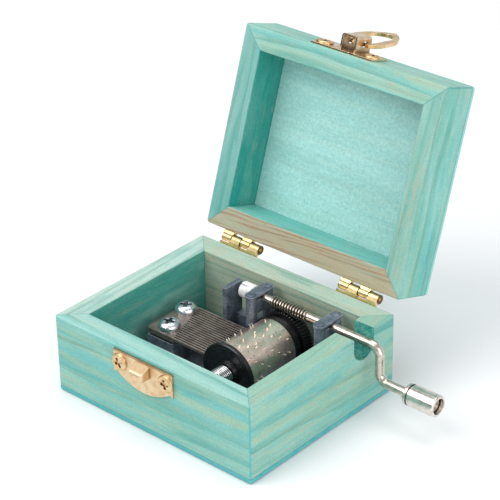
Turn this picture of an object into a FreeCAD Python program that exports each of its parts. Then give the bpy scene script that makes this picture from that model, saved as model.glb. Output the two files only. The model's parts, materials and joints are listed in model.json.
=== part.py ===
import FreeCAD, Part
import math
import os

# Hand-cranked music box. Millimetres, +Z up, +X right along the front, +Y to the back.
# The origin is the centre of the base's underside. The lid is built closed, then opened.

os.makedirs("parts", exist_ok=True)
V = FreeCAD.Vector

# Box
BOX_W = 64.0
BOX_D = 54.0
BASE_H = 21.5
WALL = 6.0
PANEL_T = 1.4
EDGE_R = 0.8
RIM_R = 0.35

# Lid, closed position
LID_GAP = 0.05
LID_H = 12.3
LID_PANEL_T = 1.2
LID_BACK_SHY = 0.1
LID_OPEN_DEG = 108.6
LID_Z0 = BASE_H + LID_GAP
LID_TOP = BASE_H + LID_H

# Hinges
HINGE_Y = BOX_D / 2 + 1.9
HINGE_Z = BASE_H + 1.0
HINGE_X = 19.6
HINGE_L = 12.6
KNUCKLE_R = 1.2
KNUCKLE_GAP = 0.1
PIN_R = 0.6
PIN_RUN = 0.05
PIN_RECESS = 0.5
LEAF_T = 0.5
LEAF_REACH = 6.2
LEAF_EDGE = 0.7
LEAF_SCREW_DX = 3.7
LEAF_SCREW_REACH = 4.3

# Latch plates
LATCH_X = -1.5
PLATE_HALF = 9.7
PLATE_T = 0.5
PLATE_EAR = 6.4
PLATE_BULGE = 8.9
CATCH_TOP = 20.6
HASP_EDGE = 22.3
PLATE_SCREW_DX = 7.6
PLATE_SCREW_DROP = 3.1
NOSE_HALF = 2.3
NOSE_OUT = 3.1
NOSE_DROP = 4.3
NOSE_R = 1.1
NOSE_CHIN_R = 0.8
BRIDGE_HALF = 2.45
BRIDGE_H = 4.0
BRIDGE_Z0 = HASP_EDGE + 2.5
BRIDGE_Z1 = BRIDGE_Z0 + 6.2
SHEET = 0.5
HOLE_HALF = 0.8

# Hasp loop
LOOP_Y = -BOX_D / 2 - PLATE_T - 2.0
LOOP_Z = BRIDGE_Z0 + 3.8
LOOP_T = 0.9
LOOP_IN = 3.6
LOOP_OUT = 5.8
LOOP_ARC = 9.6
LOOP_TIP = 16.0
LOOP_REST_DEG = 7.0
LOOP_HEEL = 2.85
LOOP_STUB_R = 0.5
LOOP_STUB_L = 2.0

# Crank shaft
SHAFT_Y = 15.4
SHAFT_Z = 19.3
SHAFT_R = 1.2
SHAFT_X0 = -7.3
ARM_X = 36.5
CRANK_DROP = 9.45
BEND_R = 2.6
ROD_END = 53.2
KNOB_X0 = 45.3
KNOB_X1 = 54.3
KNOB_R = 2.8
KNOB_GROOVE = 0.9
GROOVE_W = 0.5
GROOVE_DEPTH = 0.35
KNOB_RECESS_R = 2.05
ROD_FLARE_R = 1.65
SLEEVE_R = 2.15
SLEEVE_L = 3.75
NOTCH_Y = 14.9
NOTCH_R = 3.85
NOTCH_FLOOR = 14.5

# Worm and wheel
PITCH = 0.87
WHEEL_TEETH = 52
WORM_PITCH_R = 1.4
WORM_CREST_R = 1.65
WORM_ROOT_R = 1.1
WORM_THICK = 0.36
WHEEL_SPACE = 0.47
FLANK = math.tan(math.radians(20.0))
WHEEL_PITCH_R = WHEEL_TEETH * PITCH / (2 * math.pi)
WHEEL_TIP_R = WHEEL_PITCH_R + 0.223
WHEEL_ROOT_R = WHEEL_PITCH_R - 0.377
WHEEL_W = 3.0
LEAD_SLOPE = PITCH / (2 * math.pi * WORM_PITCH_R)
WORM_TURNS = 12.75
WORM_X0 = 2.87

# Cylinder
CYL_X = WORM_X0 + 4.75 * PITCH
CYL_Z = SHAFT_Z - WHEEL_PITCH_R - WORM_PITCH_R
DRUM_R = 7.0
DRUM_T = 0.4
DRUM_Y0 = -6.15
DRUM_Y1 = 10.6
PIN_H = 0.5
PEG_R = 0.2
ARBOR_R = 1.0
CAP_R = 8.05
CAP_T = 1.0

# Comb
COMB_TOP = 12.6
COMB_T = 1.4
TOOTH_T = 0.8
TEETH = 18
TOOTH_PITCH = 0.875
SLOT_W = 0.36
COMB_X0 = -21.4
COMB_TIP = -0.7
COMB_Y0 = -5.8
COMB_CORNER_R = 1.0
COMB_W = TEETH * TOOTH_PITCH - SLOT_W
ROOT_FRONT = -12.6
ROOT_BACK = -17.4
COMB_SCREWS = ((-16.4, -2.7), (-18.8, 6.0))
SPACER_T = 0.9

# Bedplate
BED_Z0 = PANEL_T
BED_T = 2.2
BED_Z1 = BED_Z0 + BED_T
BED_X0, BED_X1 = -23.5, 23.5
BED_Y0, BED_Y1 = -17.5, 20.0
BRIDGE_XS = {"shaft_bridge_left": -1.7, "shaft_bridge_right": 20.5}
POST_FRONT = 3.5
POST_REAR = 2.8
POST_R = 1.4
STUD_R = 0.85
CAP_HALF = 1.6
UPRIGHT_X0, UPRIGHT_X1 = -10.3, -8.9
POST_YS = (SHAFT_Y - POST_FRONT, SHAFT_Y + POST_REAR)
BRIDGE_TOP = SHAFT_Z + SHAFT_R + 0.1
BRIDGE_T = 0.5
BED_SCREWS = ((-19.5, -12.0), (19.5, -12.0), (19.5, 7.0))
SINK_DEPTH = 0.9
SINK_R = 2.15

# Screws: head radius, head height, shank radius, shank length, half width of the cross
LEAF_SCREW = (1.15, 0.5, 0.6, 4.5, 0.17)
PLATE_SCREW = (2.35, 0.6, 0.8, 5.0, 0.4)
COMB_SCREW = (2.9, 2.2, 1.2, 7.0, 0.5)
BED_SCREW = (2.0, 0.8, 0.9, 2.2, 0.2)


def box(x0, x1, y0, y1, z0, z1):
    return Part.makeBox(x1 - x0, y1 - y0, z1 - z0, V(x0, y0, z0))


def rod_x(radius, x0, x1, y, z):
    return Part.makeCylinder(radius, x1 - x0, V(x0, y, z), V(1, 0, 0))


def rod_y(radius, y0, y1, x, z):
    return Part.makeCylinder(radius, y1 - y0, V(x, y0, z), V(0, 1, 0))


def rod_z(radius, z0, z1, x, y):
    return Part.makeCylinder(radius, z1 - z0, V(x, y, z0), V(0, 0, 1))


def prism(points, direction):
    """Extrude a closed polygon, given as vectors, along a vector."""
    return Part.Face(Part.makePolygon(points + points[:1])).extrude(direction)


def yz_prism(points, x0, x1):
    return prism([V(x0, y, z) for y, z in points], V(x1 - x0, 0, 0))


def xy_prism(points, z0, z1):
    return prism([V(x, y, z0) for x, y in points], V(0, 0, z1 - z0))


def join(shapes):
    return shapes[0].multiFuse(shapes[1:]).removeSplitter()


def group(shapes):
    return Part.makeCompound(shapes)


def open_lid(shape):
    """Swing a shape from the closed lid's place to the open lid's place."""
    turned = shape.copy()
    turned.rotate(V(0, HINGE_Y, HINGE_Z), V(1, 0, 0), -LID_OPEN_DEG)
    return turned


def save(name, shape):
    shape.exportStep("parts/" + name + ".step")


def edges_where(shape, test):
    return [edge for edge in shape.Edges if test(edge)]


def is_vertical(edge):
    box_of = edge.BoundBox
    return box_of.ZLength > 1 and box_of.XLength < 0.01 and box_of.YLength < 0.01


def at_height(edge, z):
    return abs(edge.BoundBox.ZMin - z) < 0.01 and abs(edge.BoundBox.ZMax - z) < 0.01


# Screws ---------------------------------------------------------------------------

def pan_screw(head_r, head_h, shank_r, shank_l, cross):
    """A Phillips screw: head above Z = 0, shank below it with a blunt point."""
    head = Part.makeCylinder(head_r, head_h)
    head = head.makeFillet(head_h * 0.75, edges_where(head, lambda e: at_height(e, head_h)))
    arm = head_r * 0.55
    depth = head_h * 0.6
    for length, width in ((arm, cross), (cross, arm)):
        head = head.cut(box(-length, length, -width, width, head_h - depth, head_h + 1))
    shank = Part.makeCylinder(shank_r, shank_l - shank_r, V(0, 0, -shank_l + shank_r))
    point = Part.makeCone(shank_r * 0.2, shank_r, shank_r, V(0, 0, -shank_l))
    return join([head, shank, point])


def placed(shape, at, direction, spin=0.0):
    """Turn a shape's +Z to a direction and move its origin to a point."""
    copy = shape.copy()
    turn = FreeCAD.Rotation(V(0, 0, 1), direction)
    copy.Placement = FreeCAD.Placement(at, turn.multiply(FreeCAD.Rotation(V(0, 0, 1), spin)))
    return copy


# Wooden box -----------------------------------------------------------------------

def wall_ring(depth_back, z0, z1, rim_z):
    """The four walls in one piece, with rounded outer edges and a softened rim."""
    half_w, front = BOX_W / 2, -BOX_D / 2
    outer = box(-half_w, half_w, front, depth_back, z0, z1)
    outer = outer.makeFillet(EDGE_R, edges_where(outer, is_vertical))
    inner = box(-half_w + WALL, half_w - WALL, front + WALL, depth_back - WALL, z0 - 1, z1 + 1)
    ring = outer.cut(inner)
    return ring.makeFillet(RIM_R, edges_where(ring, lambda e: at_height(e, rim_z)))


def mitre_wedges(depth_back, z0, z1):
    """Plan outlines that split a wall ring along its 45 degree mitres."""
    half_w, front = BOX_W / 2, -BOX_D / 2
    out, into = 1.0, WALL + 1.0
    fl, fr = (-half_w, front), (half_w, front)
    bl, br = (-half_w, depth_back), (half_w, depth_back)
    sides = {
        "front": (fl, fr), "right": (fr, br), "back": (br, bl), "left": (bl, fl)}
    wedges = {}
    for side, ends in sides.items():
        outer, inner = [], []
        for x, y in ends:
            sx = 1 if x > 0 else -1
            sy = 1 if y > 0 else -1
            outer.append((x + sx * out, y + sy * out))
            inner.append((x - sx * into, y - sy * into))
        wedges[side] = xy_prism(outer + inner[::-1], z0 - 1, z1 + 1)
    return wedges


def crank_notch():
    """Open-topped slot with a round floor through the right wall."""
    floor_z = NOTCH_FLOOR + NOTCH_R
    x0, x1 = BOX_W / 2 - WALL - 1, BOX_W / 2 + 1
    slot = box(x0, x1, NOTCH_Y - NOTCH_R, NOTCH_Y + NOTCH_R, floor_z, BASE_H + 1)
    return slot.fuse(rod_x(NOTCH_R, x0, x1, NOTCH_Y, floor_z))


def base_walls(cutters):
    back = BOX_D / 2
    ring = wall_ring(back, PANEL_T, BASE_H, BASE_H).cut(crank_notch())
    for cutter in cutters:
        ring = ring.cut(cutter)
    for side, wedge in mitre_wedges(back, PANEL_T, BASE_H).items():
        save("base_" + side + "_wall", ring.common(wedge))


def panel(y1, z0, z1, soft_z):
    half_w, front = BOX_W / 2, -BOX_D / 2
    slab = box(-half_w, half_w, front, y1, z0, z1)
    slab = slab.makeFillet(EDGE_R, edges_where(slab, is_vertical))
    return slab.makeFillet(EDGE_R * 0.6, edges_where(slab, lambda e: at_height(e, soft_z)))


def lid_walls(cutters):
    back = BOX_D / 2 - LID_BACK_SHY
    top = LID_TOP - LID_PANEL_T
    ring = wall_ring(back, LID_Z0, top, LID_Z0)
    for cutter in cutters:
        ring = ring.cut(cutter)
    for side, wedge in mitre_wedges(back, LID_Z0, top).items():
        save("lid_" + side + "_wall", open_lid(ring.common(wedge)))


# Hinges ---------------------------------------------------------------------------

def knuckle_spans(x_mid):
    """Barrel lengths from left to right: lid, base, lid, base."""
    step = HINGE_L / 4
    start = x_mid - HINGE_L / 2
    half_gap = KNUCKLE_GAP / 2
    return [(start + i * step + half_gap, start + (i + 1) * step - half_gap) for i in range(4)]


def leaf(x_mid, face_y, up, spans, bore_r):
    """One leaf: flat plate on the wood, necks and barrel knuckles."""
    z_near = HINGE_Z + up * LEAF_EDGE
    z_far = HINGE_Z + up * (LEAF_EDGE + LEAF_REACH)
    half = HINGE_L / 2
    plate = box(x_mid - half, x_mid + half, face_y, face_y + LEAF_T,
                min(z_near, z_far), max(z_near, z_far))
    low = HINGE_Z + up * LEAF_EDGE * 2
    neck = [(face_y, low), (face_y, HINGE_Z - up * 0.1),
            (HINGE_Y - 0.8 * KNUCKLE_R, HINGE_Z - up * 0.5 * KNUCKLE_R), (HINGE_Y, HINGE_Z),
            (HINGE_Y - 0.5 * KNUCKLE_R, HINGE_Z + up * 0.8 * KNUCKLE_R), (face_y + LEAF_T, low)]
    solids = [plate]
    for x0, x1 in spans:
        solids.append(yz_prism(neck, x0, x1))
        solids.append(rod_x(KNUCKLE_R, x0, x1, HINGE_Y, HINGE_Z))
    bore = rod_x(bore_r, x_mid - half - 1, x_mid + half + 1, HINGE_Y, HINGE_Z)
    return join(solids).cut(bore)


def hinge_screws(face_y, up):
    """Four small screws that hold two leaves to one back wall."""
    screw = pan_screw(*LEAF_SCREW)
    z = HINGE_Z + up * LEAF_SCREW_REACH
    spots = [(side * HINGE_X + dx, z) for side in (-1, 1) for dx in (-LEAF_SCREW_DX, LEAF_SCREW_DX)]
    return group([placed(screw, V(x, face_y + LEAF_T, z), V(0, 1, 0), 20 * i)
                  for i, (x, z) in enumerate(spots)])


def hinge_pin(x_mid):
    half = HINGE_L / 2 - PIN_RECESS
    return rod_x(PIN_R, x_mid - half, x_mid + half, HINGE_Y, HINGE_Z)


# Latch ----------------------------------------------------------------------------

def latch_plate(edge_z, bulge):
    """Thin plate: straight edge at edge_z, curved side towards bulge (-1 down, +1 up)."""
    front = -BOX_D / 2

    def at(dx, drop):
        return V(LATCH_X + dx, front, edge_z + bulge * drop)

    waist, waist_drop = PLATE_HALF - 1.0, PLATE_EAR - 0.5
    outline = [at(-waist, waist_drop), at(-PLATE_HALF, PLATE_EAR), at(-PLATE_HALF, 0),
               at(PLATE_HALF, 0), at(PLATE_HALF, PLATE_EAR), at(waist, waist_drop)]
    curve = Part.Arc(outline[-1], at(0, PLATE_BULGE), outline[0]).toShape()
    lines = [Part.makeLine(a, b) for a, b in zip(outline, outline[1:])]
    return Part.Face(Part.Wire(lines + [curve])).extrude(V(0, -PLATE_T, 0))


def plate_screws(edge_z, bulge, spins):
    screw = pan_screw(*PLATE_SCREW)
    z = edge_z + bulge * PLATE_SCREW_DROP
    return [placed(screw, V(LATCH_X + side * PLATE_SCREW_DX, -BOX_D / 2 - PLATE_T, z),
                   V(0, -1, 0), spin) for side, spin in zip((-1, 1), spins)]


def catch_nose():
    """Hollow hood pressed out of the catch plate, open below."""
    face = -BOX_D / 2 - PLATE_T
    top, low = CATCH_TOP - 0.8, CATCH_TOP - NOSE_DROP
    tip = face - NOSE_OUT
    outer = yz_prism([(face + 0.3, top), (face, top), (tip + 0.2, top - 1.2), (tip, low),
                      (face + 0.3, low)], LATCH_X - NOSE_HALF, LATCH_X + NOSE_HALF)

    def on_lip(edge):
        return edge.BoundBox.YMax < tip + 0.3 and edge.BoundBox.ZLength > 1

    def on_brow(edge):
        return edge.BoundBox.YMax < tip + 0.3 and edge.BoundBox.XLength > 1 \
            and edge.BoundBox.ZMin > low + 1

    outer = outer.makeFillet(NOSE_R, edges_where(outer, lambda e: on_lip(e) or on_brow(e)))
    chin = edges_where(outer, lambda e: at_height(e, low) and e.BoundBox.YMin < face - 0.5)
    outer = outer.makeFillet(NOSE_CHIN_R, chin)
    inner = yz_prism([(face + 1, top - SHEET), (face, top - SHEET),
                      (tip + 0.2 + SHEET, top - 1.2 - SHEET), (tip + SHEET, low - 1),
                      (face + 1, low - 1)],
                     LATCH_X - NOSE_HALF + SHEET, LATCH_X + NOSE_HALF - SHEET)
    return outer.cut(inner)


def catch_plate(screws):
    plate = join([latch_plate(CATCH_TOP, -1), catch_nose()])
    for screw in screws:
        plate = plate.cut(screw)
    return plate


def hasp_bridge():
    """Raised tunnel for the loop's ends, open at both ends, with square side holes."""
    face = -BOX_D / 2 - PLATE_T
    x0, x1 = LATCH_X - BRIDGE_HALF, LATCH_X + BRIDGE_HALF
    block = box(x0, x1, face - BRIDGE_H, face + 0.3, BRIDGE_Z0, BRIDGE_Z1)

    def on_top(edge):
        return edge.BoundBox.YMax < face - BRIDGE_H + 0.01 and edge.BoundBox.ZLength > 1

    block = block.makeFillet(0.8, edges_where(block, on_top))
    tunnel = box(x0 + SHEET, x1 - SHEET, face - BRIDGE_H + SHEET, face,
                 BRIDGE_Z0 - 1, BRIDGE_Z1 + 1)
    holes = box(x0 - 1, x1 + 1, LOOP_Y - HOLE_HALF, LOOP_Y + HOLE_HALF,
                LOOP_Z - HOLE_HALF, LOOP_Z + HOLE_HALF)
    return block.cut(tunnel).cut(holes)


def hasp_plate(screws):
    plate = join([latch_plate(HASP_EDGE, 1), hasp_bridge()])
    for screw in screws:
        plate = plate.cut(screw)
    return plate


def loop_outline():
    """Outer and inner edges of the flat pointed ring, as (half width, reach) pairs."""
    outer = [(LOOP_HEEL, -0.8), (4.0, -0.8), (5.2, 0.6), (LOOP_OUT, 2.3), (LOOP_OUT, 6.2)]
    inner = [(LOOP_HEEL, 0.7), (3.2, 0.7), (LOOP_IN, 1.5), (LOOP_IN, LOOP_ARC)]
    return outer, inner


def hasp_loop():
    """Flat ring with a pointed tip; its ends turn into the bridge's side holes."""
    outer, inner = loop_outline()

    def at(half, reach):
        return V(LATCH_X + half, LOOP_Y - LOOP_T / 2, LOOP_Z + reach)

    def line(points, side):
        spots = [at(side * half, reach) for half, reach in points]
        return [Part.makeLine(a, b) for a, b in zip(spots, spots[1:])]

    edges = []
    for side in (-1, 1):
        edges += line(outer, side) + line(inner, side)
        heel, toe = outer[0], inner[0]
        edges.append(Part.makeLine(at(side * heel[0], heel[1]), at(side * toe[0], toe[1])))
        shoulder, tip = at(side * LOOP_OUT, outer[-1][1]), at(0, LOOP_TIP)
        flank = at(side * 0.77 * LOOP_OUT, 0.7 * LOOP_TIP)
        edges.append(Part.Arc(shoulder, flank, tip).toShape())
    crown = at(0, LOOP_ARC + LOOP_IN)
    edges.append(Part.Arc(at(-LOOP_IN, LOOP_ARC), crown, at(LOOP_IN, LOOP_ARC)).toShape())
    outline = Part.Wire(Part.__sortEdges__(edges))
    ring = Part.Face(outline).extrude(V(0, LOOP_T, 0))
    reach = LOOP_HEEL + 0.6
    stubs = [rod_x(LOOP_STUB_R, LATCH_X + x, LATCH_X + x + LOOP_STUB_L, LOOP_Y, LOOP_Z)
             for x in (-reach, reach - LOOP_STUB_L)]
    loop = join([ring] + stubs)
    loop.rotate(V(LATCH_X, LOOP_Y, LOOP_Z), V(1, 0, 0), LOOP_REST_DEG)
    return loop


# Crank ----------------------------------------------------------------------------

def bend(x_mid, z_mid, start_deg):
    """A quarter of a torus in the XZ plane, for one bend of the rod."""
    disc = Part.Face(Part.Wire(Part.makeCircle(
        SHAFT_R, V(x_mid + BEND_R, SHAFT_Y, z_mid), V(0, 0, 1))))
    disc.rotate(V(x_mid, SHAFT_Y, z_mid), V(0, 1, 0), -start_deg)
    return disc.revolve(V(x_mid, SHAFT_Y, z_mid), V(0, 1, 0), -90)


def worm_thread():
    """Right-hand thread; one crest meets the wheel's top tooth space at rest."""
    root, crest = WORM_ROOT_R - 0.06, WORM_CREST_R
    root_half = WORM_THICK / 2 + (WORM_PITCH_R - root) * FLANK
    crest_half = WORM_THICK / 2 - (crest - WORM_PITCH_R) * FLANK
    helix = Part.makeHelix(PITCH, PITCH * WORM_TURNS, WORM_PITCH_R)
    corners = [V(root, 0, -root_half), V(crest, 0, -crest_half),
               V(crest, 0, crest_half), V(root, 0, root_half)]
    profile = Part.makePolygon(corners + corners[:1])
    thread = Part.Wire(helix.Edges).makePipeShell([profile], True, True)
    turn = FreeCAD.Rotation(V(1, 1, 1), 120)
    thread.Placement = FreeCAD.Placement(V(WORM_X0, SHAFT_Y, SHAFT_Z), turn)
    return thread


def crimp_ears(x, z):
    """Two small ears squeezed out of the rod, which keep the knob from sliding in."""
    wide = SHAFT_R + 0.45
    return yz_prism([(SHAFT_Y - wide, z - 0.5), (SHAFT_Y + wide, z - 0.5),
                     (SHAFT_Y + wide, z), (SHAFT_Y - wide, z)], x, x + 0.6)


def crank_shaft():
    low_z = SHAFT_Z - CRANK_DROP
    root_0, root_1 = WORM_X0 - 0.35, WORM_X0 + PITCH * WORM_TURNS + 0.35
    pieces = [
        rod_x(SHAFT_R, SHAFT_X0, root_0, SHAFT_Y, SHAFT_Z),
        rod_x(WORM_ROOT_R, root_0, root_1, SHAFT_Y, SHAFT_Z),
        worm_thread(),
        rod_x(SHAFT_R, root_1, ARM_X - BEND_R, SHAFT_Y, SHAFT_Z),
        bend(ARM_X - BEND_R, SHAFT_Z - BEND_R, 0),
        rod_z(SHAFT_R, low_z + BEND_R, SHAFT_Z - BEND_R, ARM_X, SHAFT_Y),
        bend(ARM_X + BEND_R, low_z + BEND_R, 180),
        rod_x(SHAFT_R, ARM_X + BEND_R, ROD_END, SHAFT_Y, low_z),
        rod_x(ROD_FLARE_R, ROD_END - 0.8, ROD_END, SHAFT_Y, low_z),
        crimp_ears(KNOB_X0 - 1.0, low_z)]
    return join(pieces)


def shaft_sleeve():
    x0 = SHAFT_X0 - 0.1
    x1 = x0 + SLEEVE_L
    tube = rod_x(SLEEVE_R, x0, x1, SHAFT_Y, SHAFT_Z).cut(
        rod_x(SHAFT_R, x0 - 1, x1 + 1, SHAFT_Y, SHAFT_Z))
    rims = edges_where(tube, lambda e: e.BoundBox.XLength < 0.01 and e.BoundBox.ZLength > 4)
    tube = tube.makeFillet(0.3, rims)
    slit = box(x0 - 1, x0 + 2.2, SHAFT_Y - 0.15, SHAFT_Y + 0.15, SHAFT_Z, SHAFT_Z + 3)
    slit.rotate(V(0, SHAFT_Y, SHAFT_Z), V(1, 0, 0), 25)
    return tube.cut(slit)


def crank_knob():
    """Nickel sleeve: grooved inner end that runs on the rod, open recess outside."""
    z = SHAFT_Z - CRANK_DROP
    body = rod_x(KNOB_R, KNOB_X0, KNOB_X1, SHAFT_Y, z)
    rims = edges_where(body, lambda e: e.BoundBox.XLength < 0.01 and e.BoundBox.ZLength > 4)
    body = body.makeFillet(0.35, rims)
    groove_x = KNOB_X0 + KNOB_GROOVE
    groove = rod_x(KNOB_R + 1, groove_x, groove_x + GROOVE_W, SHAFT_Y, z).cut(
        rod_x(KNOB_R - GROOVE_DEPTH, groove_x, groove_x + GROOVE_W, SHAFT_Y, z))
    body = body.cut(groove)
    body = body.cut(rod_x(SHAFT_R + PIN_RUN, KNOB_X0 - 1, KNOB_X1 + 1, SHAFT_Y, z))
    return body.cut(rod_x(KNOB_RECESS_R, ROD_END - 1.0, KNOB_X1 + 1, SHAFT_Y, z))


# Cylinder -------------------------------------------------------------------------

def about_cylinder(profile):
    """Turn an outline of (radius, y) pairs about the cylinder's axis."""
    face = Part.Face(Part.makePolygon([V(CYL_X + r, y, CYL_Z) for r, y in profile + profile[:1]]))
    return face.revolve(V(CYL_X, 0, CYL_Z), V(0, 1, 0), 360)


def cylinder_drum():
    return about_cylinder([(DRUM_R - DRUM_T, DRUM_Y0), (DRUM_R, DRUM_Y0),
                           (DRUM_R, DRUM_Y1), (DRUM_R - DRUM_T, DRUM_Y1)])


def front_cap():
    """Dished black cap: raised rim, hollowed face, hub and plug inside the drum."""
    front = DRUM_Y0 - CAP_T
    plug_r = DRUM_R - DRUM_T
    cap = about_cylinder([
        (ARBOR_R, DRUM_Y0 + 1.6), (ARBOR_R, front - 0.5), (3.2, front - 0.5), (3.5, front + 0.4),
        (6.6, front + 0.1), (7.1, front - 0.1), (CAP_R - 0.3, front - 0.1), (CAP_R, front + 0.2),
        (CAP_R, DRUM_Y0), (plug_r, DRUM_Y0), (plug_r, DRUM_Y0 + 1.6)])
    return cap


def rear_flange():
    plug_r = DRUM_R - DRUM_T
    y0, wheel_y = DRUM_Y1, SHAFT_Y - WHEEL_W / 2
    return about_cylinder([
        (ARBOR_R, y0 - 1.6), (plug_r, y0 - 1.6), (plug_r, y0), (7.05, y0), (7.05, y0 + 0.7),
        (6.7, y0 + 0.8), (6.7, y0 + 1.1), (6.95, y0 + 1.2), (6.95, y0 + 1.9), (6.0, y0 + 2.1),
        (6.0, wheel_y), (ARBOR_R, wheel_y)])


def drive_gear():
    """Worm wheel: straight spaces, slanted by the worm's lead angle."""
    y0, y1 = SHAFT_Y - WHEEL_W / 2, SHAFT_Y + WHEEL_W / 2
    blank = about_cylinder([
        (ARBOR_R, y0), (WHEEL_TIP_R - 0.2, y0), (WHEEL_TIP_R, y0 + 0.2),
        (WHEEL_TIP_R, y1 - 0.2), (WHEEL_TIP_R - 0.2, y1), (ARBOR_R, y1)])
    reach = WHEEL_W / 2 + 0.5
    floor_half = WHEEL_SPACE / 2 - (WHEEL_PITCH_R - WHEEL_ROOT_R) * FLANK
    top_r = WHEEL_TIP_R + 0.25
    top_half = floor_half + (top_r - WHEEL_ROOT_R) * FLANK
    shift = -LEAD_SLOPE * reach
    corners = [V(CYL_X + shift + dx, SHAFT_Y - reach, CYL_Z + r) for dx, r in (
        (-floor_half, WHEEL_ROOT_R), (floor_half, WHEEL_ROOT_R),
        (top_half, top_r), (-top_half, top_r))]
    space = prism(corners, V(2 * LEAD_SLOPE * reach, 2 * reach, 0))
    spaces = []
    for i in range(WHEEL_TEETH):
        tool = space.copy()
        tool.rotate(V(CYL_X, 0, CYL_Z), V(0, 1, 0), 360.0 * i / WHEEL_TEETH)
        spaces.append(tool)
    return blank.cut(group(spaces))


def tooth_y(i):
    """Middle of comb tooth i, counted from the front."""
    return COMB_Y0 + (TOOTH_PITCH - SLOT_W) / 2 + i * TOOTH_PITCH


def cylinder_pins():
    """Melody pins: several on each tooth's track, spread unevenly round the drum."""
    pins = []
    for i in range(TEETH):
        count = 4 + (i * 5) % 3
        for k in range(count):
            turn = 360.0 * k / count + (i * 47.0) % 83 + (k * k * 13) % 29
            pin = rod_z(PEG_R, CYL_Z + DRUM_R, CYL_Z + DRUM_R + PIN_H, CYL_X, tooth_y(i))
            pin.rotate(V(CYL_X, 0, CYL_Z), V(0, 1, 0), turn)
            pins.append(pin)
    return group(pins)


def cylinder_arbor():
    return rod_y(ARBOR_R, -16.9, 19.7, CYL_X, CYL_Z)


def thrust_spring():
    """Close-wound coil round the arbor in front of the cap."""
    wire_r, coil_r, lead, turns = 0.24, 2.45, 0.53, 11
    helix = Part.makeHelix(lead, lead * turns, coil_r)
    section = Part.Wire(Part.makeCircle(wire_r, V(coil_r, 0, 0), V(0, 1, 0)))
    coil = Part.Wire(helix.Edges).makePipeShell([section], True, True)
    coil.Placement = FreeCAD.Placement(
        V(CYL_X, DRUM_Y0 - CAP_T - 0.5 - wire_r - 0.02, CYL_Z), FreeCAD.Rotation(V(1, 0, 0), 90))
    return coil


# Comb -----------------------------------------------------------------------------

def tooth_root(i):
    """X where the slot beside tooth i starts; the bass teeth at the back are longer."""
    return ROOT_FRONT + (ROOT_BACK - ROOT_FRONT) * i / (TEETH - 1)


def comb(screws):
    y1 = COMB_Y0 + COMB_W
    plate = box(COMB_X0, COMB_TIP, COMB_Y0, y1, COMB_TOP - COMB_T, COMB_TOP)
    plate = plate.makeFillet(COMB_CORNER_R, edges_where(
        plate, lambda e: is_vertical(e) and e.BoundBox.XMax < COMB_X0 + 0.01))
    thinned = xy_prism([(ROOT_FRONT + 0.8, COMB_Y0 - 1), (COMB_TIP + 1, COMB_Y0 - 1),
                        (COMB_TIP + 1, y1 + 1), (ROOT_BACK + 0.8, y1 + 1)],
                       COMB_TOP - COMB_T - 1, COMB_TOP - TOOTH_T)
    slots = [box(tooth_root(i), COMB_TIP + 1, tooth_y(i) + (TOOTH_PITCH - SLOT_W) / 2,
                 tooth_y(i + 1) - (TOOTH_PITCH - SLOT_W) / 2, COMB_TOP - COMB_T - 1, COMB_TOP + 1)
             for i in range(TEETH - 1)]
    plate = plate.cut(group([thinned] + slots))
    for screw in screws:
        plate = plate.cut(screw)
    return plate


def tuning_weights():
    """Small lead blocks under the tips of the longer teeth."""
    blocks = []
    half = (TOOTH_PITCH - SLOT_W) / 2
    top = COMB_TOP - TOOTH_T
    for i in range(TEETH // 2, TEETH):
        depth = 0.9 + 0.14 * (i - TEETH // 2)
        blocks.append(box(COMB_TIP - 4.2, COMB_TIP - 0.9, tooth_y(i) - half, tooth_y(i) + half,
                          top - depth, top))
    return group(blocks)


def comb_screws():
    screw = pan_screw(*COMB_SCREW)
    return [placed(screw, V(x, y, COMB_TOP), V(0, 0, 1), spin)
            for (x, y), spin in zip(COMB_SCREWS, (12, 33))]


def comb_spacer(screws):
    y1 = COMB_Y0 + COMB_W
    top = COMB_TOP - COMB_T
    bar = xy_prism([(COMB_X0 + 0.5, COMB_Y0 + 0.6), (ROOT_FRONT - 0.6, COMB_Y0 + 0.6),
                    (ROOT_BACK + 2.6, y1 - 0.5), (COMB_X0 + 0.5, y1 - 0.5)], top - SPACER_T, top)
    for screw in screws:
        bar = bar.cut(screw)
    return bar


# Bedplate -------------------------------------------------------------------------

def bearing_stand(x):
    """Two round posts joined by a saddle that carries the shaft, with staked studs."""
    parts = []
    cap_top = BRIDGE_TOP + BRIDGE_T
    for y in POST_YS:
        head = rod_z(STUD_R + 0.3, cap_top, cap_top + 0.35, x, y)
        head = head.makeFillet(0.2, edges_where(head, lambda e: at_height(e, cap_top + 0.35)))
        parts += [rod_z(POST_R, BED_Z1 - 1, BRIDGE_TOP, x, y),
                  rod_z(STUD_R, BRIDGE_TOP - 0.5, cap_top + 0.1, x, y), head]
    parts.append(box(x - 1.2, x + 1.2, POST_YS[0], POST_YS[1], SHAFT_Z - 3.4, SHAFT_Z + 0.3))
    groove = rod_x(SHAFT_R + PIN_RUN, x - 2, x + 2, SHAFT_Y, SHAFT_Z)
    throat = box(x - 2, x + 2, SHAFT_Y - SHAFT_R - PIN_RUN, SHAFT_Y + SHAFT_R + PIN_RUN,
                 SHAFT_Z, BRIDGE_TOP - 0.01)
    return join(parts).cut(groove.fuse(throat))


def arbor_post(y0, y1):
    post = box(CYL_X - 2.6, CYL_X + 2.6, y0, y1, BED_Z1 - 1, CYL_Z)
    post = post.fuse(rod_y(2.6, y0, y1, CYL_X, CYL_Z)).removeSplitter()
    return post.cut(rod_y(ARBOR_R + PIN_RUN, y0 - 1, y1 + 1, CYL_X, CYL_Z))


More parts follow.
